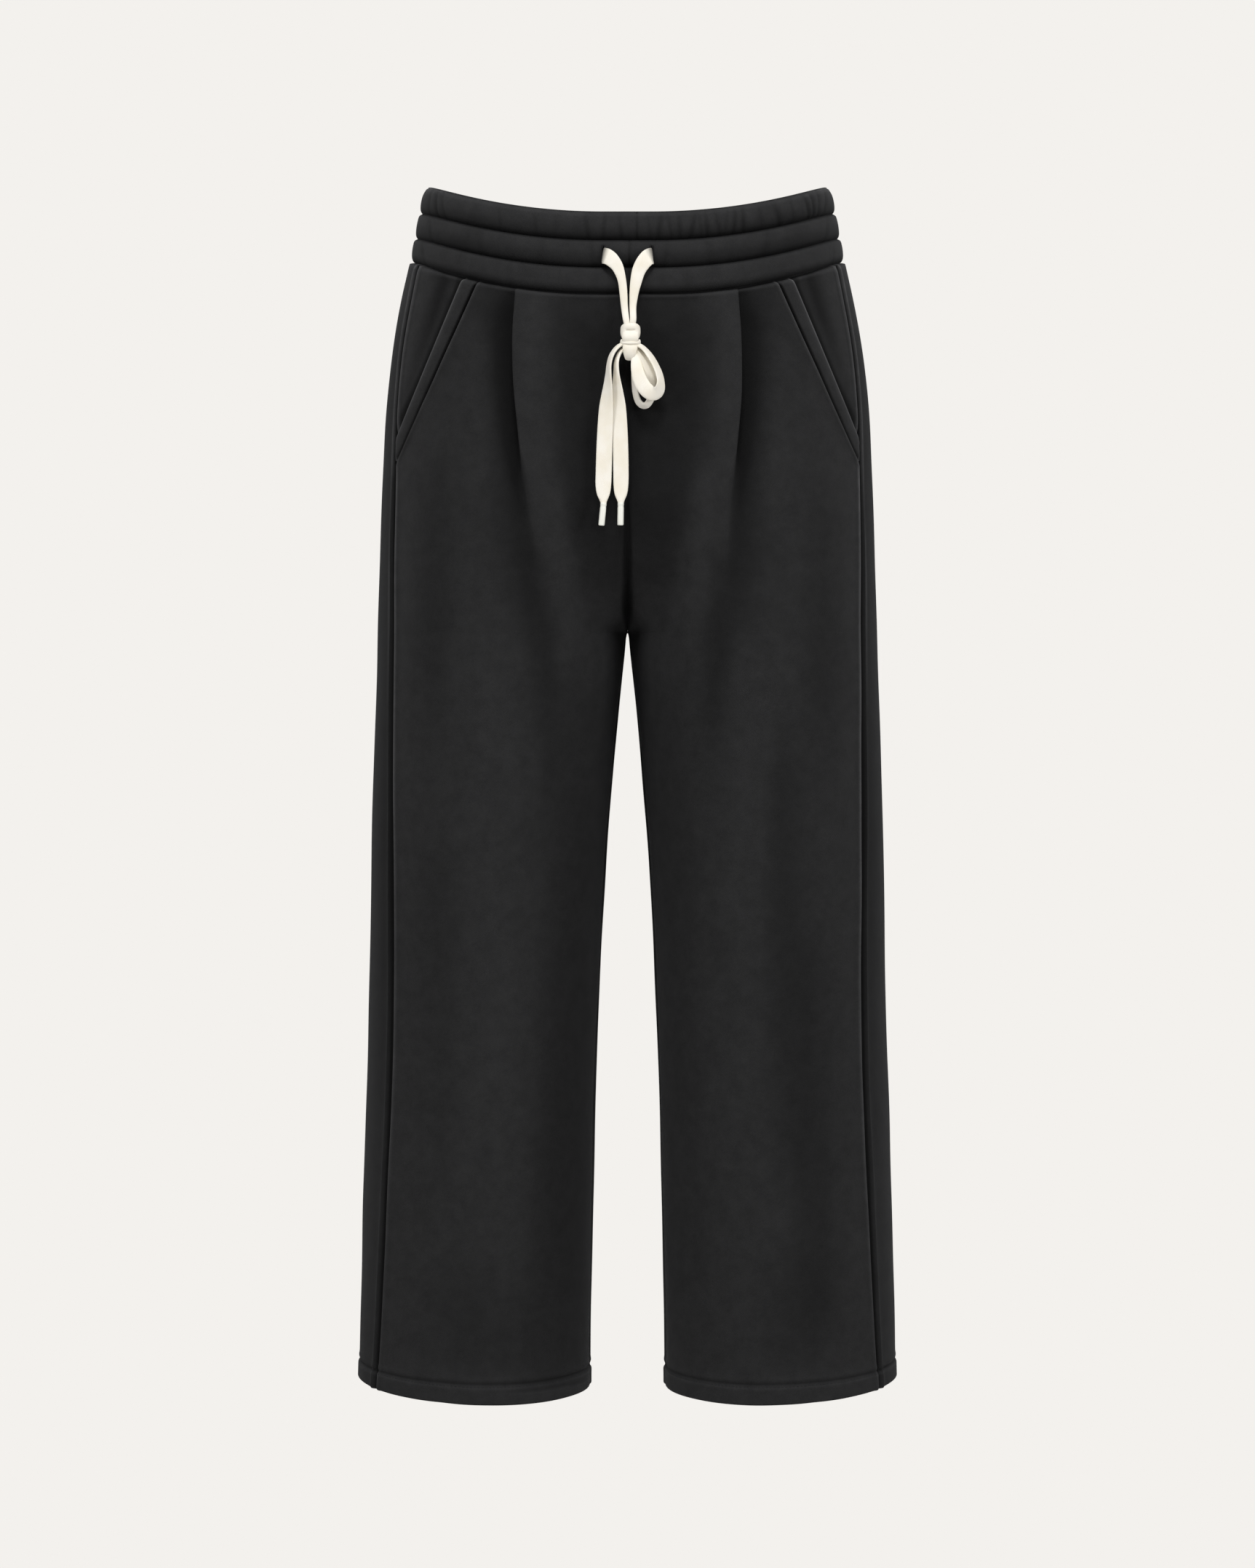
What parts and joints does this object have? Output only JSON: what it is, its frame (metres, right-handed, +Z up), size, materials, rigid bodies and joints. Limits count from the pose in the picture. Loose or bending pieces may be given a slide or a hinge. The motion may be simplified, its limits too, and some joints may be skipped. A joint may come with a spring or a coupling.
{
  "type": "drawcord sweatpants",
  "caption": "Hollow, filled-out sweatpants with straight wide legs, plain open hems, slanted pockets, a channelled elastic waistband and a tied flat drawcord.",
  "frame": {"origin": "middle of the waistband ring, where the wearer's waist or a mannequin's waist holds the garment up", "axes": "+Z up towards the open waist, -Y to the wearer's front, +X to the wearer's left"},
  "size_m": [0.46, 0.2557, 1.007],
  "materials": {
    "fleece": "heavy brushed fleece, matte charcoal black",
    "cord": "flat woven cotton, matte cream",
    "tip": "smooth moulded sleeve, slight sheen"
  },
  "bodies": {
    "root": {"waistband": "fleece", "front_right": "fleece", "front_left": "fleece", "back_right": "fleece", "back_left": "fleece", "pocket_welt_right": "fleece", "pocket_welt_left": "fleece", "pocket_facing_right": "fleece", "pocket_facing_left": "fleece", "cord_strand_right": "cord", "cord_strand_left": "cord", "cord_loop_front": "cord", "cord_loop_rear": "cord", "cord_tail_right": "cord", "cord_tail_left": "cord", "cord_knot": "cord", "aglet_right": "tip", "aglet_left": "tip"}
  },
  "joints": []
}
